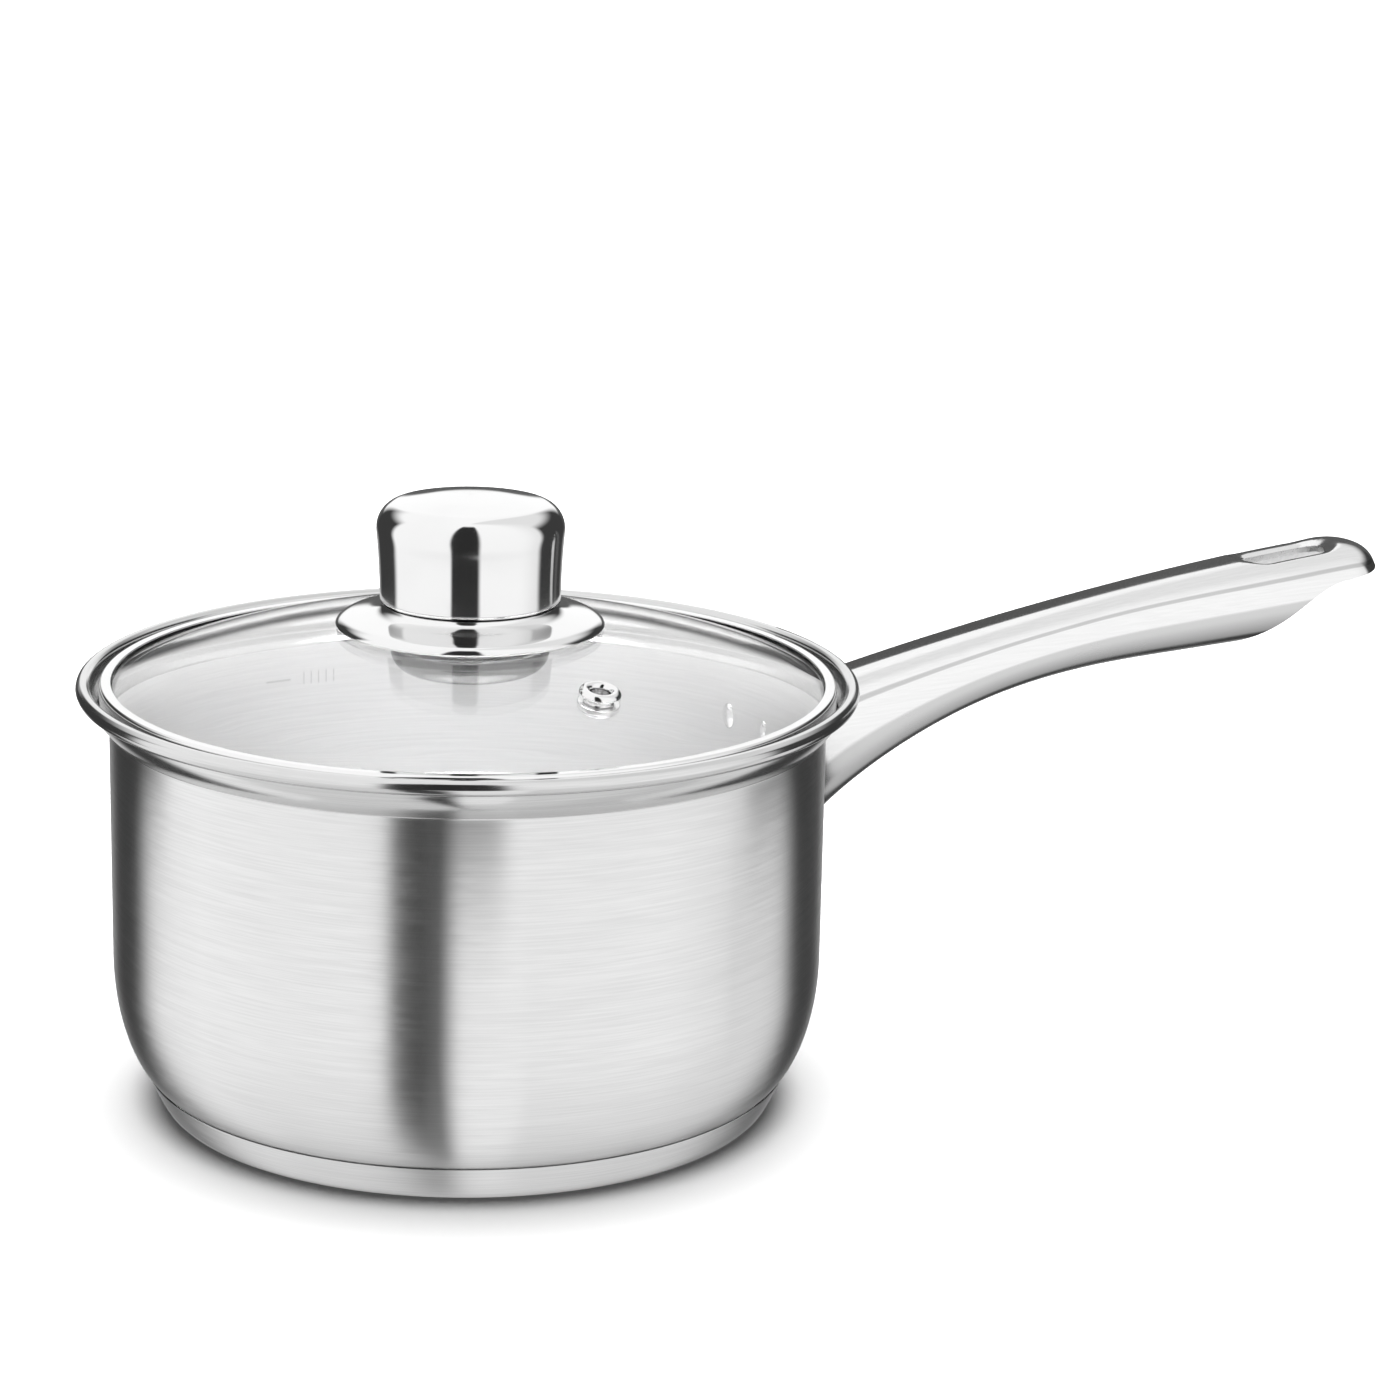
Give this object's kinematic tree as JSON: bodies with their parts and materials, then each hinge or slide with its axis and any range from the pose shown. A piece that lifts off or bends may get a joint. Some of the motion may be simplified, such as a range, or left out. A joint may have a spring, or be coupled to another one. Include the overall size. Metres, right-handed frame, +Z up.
{
  "type": "saucepan with glass lid",
  "caption": "Stainless saucepan with an encapsulated base, a long hollow steel handle with a hanging slot, and a vented glass lid with a steel knob that lifts off.",
  "frame": {"origin": "centre of the pan's flat underside, on the surface it stands on", "axes": "+Z up along the pan's and the lid's axis; +X from the pan's axis towards the handle's tip"},
  "size_m": [0.3501, 0.176, 0.1394],
  "materials": {
    "brushed_steel": "fine brushed stainless steel, brushed round the pan",
    "satin_steel": "satin stainless steel",
    "polished_steel": "mirror-polished stainless steel, not plated",
    "plain_steel": "bare stamped or turned steel",
    "aluminium": "plain rolled aluminium",
    "glass": "clear tempered glass",
    "silicone": "matt silicone rubber"
  },
  "bodies": {
    "pan": {"pan_body": "brushed_steel", "base_core_disc": "aluminium", "base_cap": "satin_steel", "handle_shell": "polished_steel", "handle_bracket": "plain_steel"},
    "lid": {"lid_glass": "glass", "lid_rim_band": "polished_steel", "vent_eyelet": "polished_steel", "vent_washer": "polished_steel", "knob_cap": "polished_steel", "knob_collar": "polished_steel", "knob_plate": "plain_steel", "knob_nut": "plain_steel", "upper_gasket": "silicone", "glass_bushing": "silicone", "lower_gasket": "silicone", "under_lid_cup": "polished_steel", "lock_washer": "plain_steel", "knob_screw": "plain_steel"}
  },
  "joints": [
    {"name": "lid_lift", "type": "slide", "parent": "pan", "child": "lid", "axis": [0, 0, 1], "range_m": [0, 0.15]}
  ]
}
